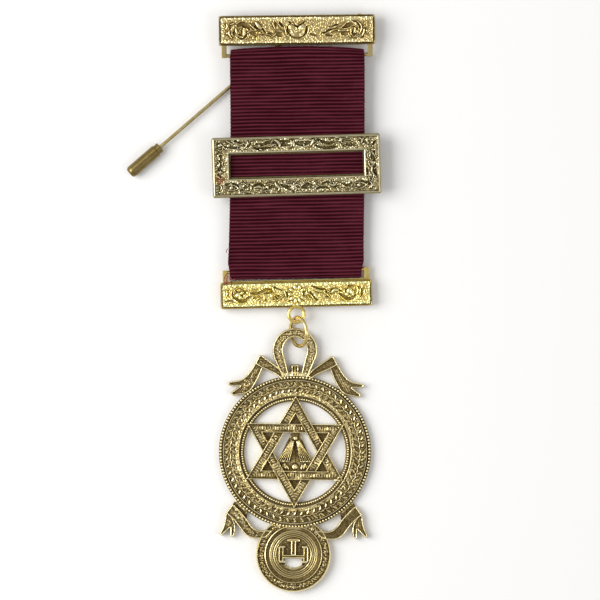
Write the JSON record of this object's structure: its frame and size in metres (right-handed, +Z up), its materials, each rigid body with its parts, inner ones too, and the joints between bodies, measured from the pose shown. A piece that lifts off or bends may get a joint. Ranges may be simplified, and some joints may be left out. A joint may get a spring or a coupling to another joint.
{
  "type": "masonic jewel",
  "caption": "Lodge chapter jewel lying flat: brooch bar with stick pin, ribbed ribbon with slide frame, lower bar, jump ring and cast pierced pendant with an interlaced star.",
  "frame": {"origin": "centre of the pendant's large ring on the casting's flat back, in the plane of the surface that the jewel lies on", "axes": "+X to the right across the ribbon, +Y from the pendant up to the brooch bar, +Z up from the surface"},
  "size_m": [0.0604, 0.1373, 0.0066],
  "materials": {
    "gilt": "polished gilt with hammered ground, darker in the recesses",
    "ribbon_cloth": "maroon grosgrain with cross ribs and a soft silk sheen",
    "pale_gilt": "pale worn gilt with a coppery stain at the lower left",
    "deep_gilt": "bright deep yellow gilt with a pebbled ground",
    "gilt_wire": "polished gilt wire",
    "antique_gilt": "antique gilt with brown recesses and light worn edges",
    "pin_wire": "dull gilt wire",
    "guard_brass": "brown tarnished brass"
  },
  "bodies": {
    "jewel": {"top_bar": "gilt", "ribbon": "ribbon_cloth", "slide_frame": "pale_gilt", "bottom_bar": "deep_gilt", "jump_ring": "gilt_wire", "pendant": "antique_gilt", "stick_pin": "pin_wire"},
    "guard": {"pin_guard": "guard_brass"}
  },
  "joints": [
    {"name": "guard_slide", "type": "slide", "parent": "jewel", "child": "guard", "axis": [-0.7557, -0.6546, 0.0178], "range_m": [0, 0.0085]}
  ]
}
